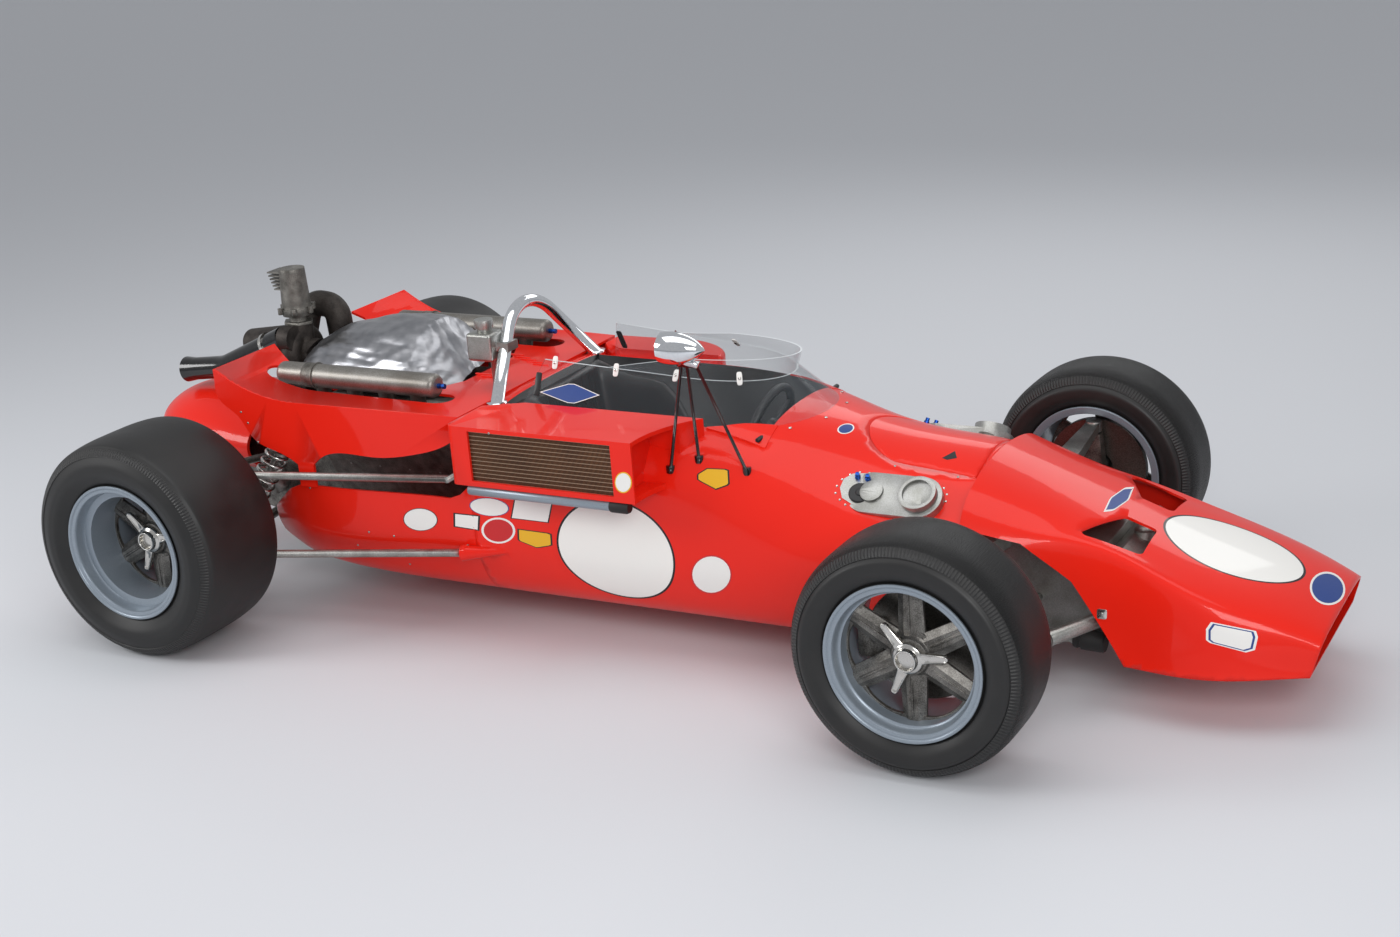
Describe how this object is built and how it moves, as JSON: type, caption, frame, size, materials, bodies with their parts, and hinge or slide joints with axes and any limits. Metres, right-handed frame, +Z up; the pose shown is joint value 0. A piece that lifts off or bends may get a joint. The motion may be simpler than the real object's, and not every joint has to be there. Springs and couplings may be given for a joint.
{
  "type": "open_wheel_racing_car",
  "caption": "Red single seat open wheel racing car with a rear mounted turbocharged engine, side radiators, a clear wrap round screen and wide slick tyres, for oval track racing.",
  "frame": {"origin": "middle of the car's outline on the floor", "axes": "+X to the nose, +Y to the car's left, +Z up"},
  "size_m": [3.872, 1.822, 0.978],
  "materials": {
    "red_paint": "gloss",
    "plated_steel": "satin",
    "satin_aluminium": "satin",
    "black_plastic": "matte",
    "black_coated_steel": "satin",
    "foil": "polished",
    "cast_iron_disc": "satin",
    "polished_steel": "polished",
    "tyre_rubber": "matte",
    "magnesium": "satin",
    "chrome_plate": "polished",
    "bronze_core": "matte",
    "black_leather": "satin",
    "cast_housing": "matte",
    "clear_screen": "gloss"
  },
  "bodies": {
    "chassis": {"bay_panels": "red_paint", "coil_overs": "plated_steel", "coolant_pipe": "satin_aluminium", "cowl_hatch": "red_paint", "dash_panel": "black_plastic", "driveshafts": "plated_steel", "engine_block": "satin_aluminium", "engine_cover": "red_paint", "exhaust_pipe": "black_coated_steel", "filler_plates": "satin_aluminium", "foil_blanket": "foil", "front_arms": "plated_steel", "front_bulkhead": "satin_aluminium", "gearbox": "satin_aluminium", "header_tank": "satin_aluminium", "intake_plenums": "satin_aluminium", "mirror": "chrome_plate", "nose_cone": "red_paint", "nose_tank": "satin_aluminium", "radiator_core": "bronze_core", "radiator_pod": "red_paint", "rear_links": "plated_steel", "rear_uprights": "plated_steel", "roll_hoop": "chrome_plate", "seat": "black_leather", "shoulder_fairing": "red_paint", "tail_fairing": "red_paint", "tub": "red_paint", "turbocharger": "cast_housing", "wastegate": "cast_housing", "wind_deflector": "clear_screen", "windscreen": "clear_screen"},
    "steering_gear": {"steering_rack": "plated_steel"},
    "hand_wheel": {"steering_wheel": "black_plastic"},
    "front_knuckle_left": {"front_knuckle_left": "plated_steel"},
    "front_wheel_left": {"front_wheel_left": "magnesium", "front_tyre_left": "tyre_rubber", "front_knock_off_left": "polished_steel", "front_disc_left": "cast_iron_disc"},
    "rear_wheel_left": {"rear_wheel_left": "magnesium", "rear_tyre_left": "tyre_rubber", "rear_knock_off_left": "polished_steel", "rear_disc_left": "cast_iron_disc"},
    "front_knuckle_right": {"front_knuckle_right": "plated_steel"},
    "front_wheel_right": {"front_wheel_right": "magnesium", "front_tyre_right": "tyre_rubber", "front_knock_off_right": "polished_steel", "front_disc_right": "cast_iron_disc"},
    "rear_wheel_right": {"rear_wheel_right": "magnesium", "rear_tyre_right": "tyre_rubber", "rear_knock_off_right": "polished_steel", "rear_disc_right": "cast_iron_disc"}
  },
  "joints": [
    {"name": "steer_left", "type": "hinge", "parent": "chassis", "child": "front_knuckle_left", "pos_m": [1.066, 0.648, 0.314], "axis": [0, 0, 1], "range_deg": [-18, 18]},
    {"name": "steer_right", "type": "hinge", "parent": "chassis", "child": "front_knuckle_right", "pos_m": [1.066, -0.648, 0.314], "axis": [0, 0, 1], "range_deg": [-18, 18]},
    {"name": "front_roll_left", "type": "hinge", "parent": "front_knuckle_left", "child": "front_wheel_left", "pos_m": [1.066, 0.723, 0.314], "axis": [0, 1, 0], "continuous": true},
    {"name": "rear_roll_left", "type": "hinge", "parent": "chassis", "child": "rear_wheel_left", "pos_m": [-1.376, 0.735, 0.336], "axis": [0, 1, 0], "continuous": true},
    {"name": "front_roll_right", "type": "hinge", "parent": "front_knuckle_right", "child": "front_wheel_right", "pos_m": [1.066, -0.723, 0.314], "axis": [0, 1, 0], "continuous": true},
    {"name": "rear_roll_right", "type": "hinge", "parent": "chassis", "child": "rear_wheel_right", "pos_m": [-1.376, -0.735, 0.336], "axis": [0, 1, 0], "continuous": true},
    {"name": "hand_wheel_turn", "type": "hinge", "parent": "chassis", "child": "hand_wheel", "pos_m": [0.324, 0, 0.575], "axis": [-0.9511, 0, 0.309], "range_deg": [-150, 150]},
    {"name": "rack_slide", "type": "slide", "parent": "chassis", "child": "steering_gear", "axis": [0, 1, 0], "range_m": [-0.03707, 0.03707]}
  ],
  "couplings": [
    {"joint": "steer_right", "follows": "steer_left", "ratio": 1},
    {"joint": "rack_slide", "follows": "steer_left", "m_per_rad": 0.118},
    {"joint": "hand_wheel_turn", "follows": "steer_left", "ratio": 8.3333}
  ]
}
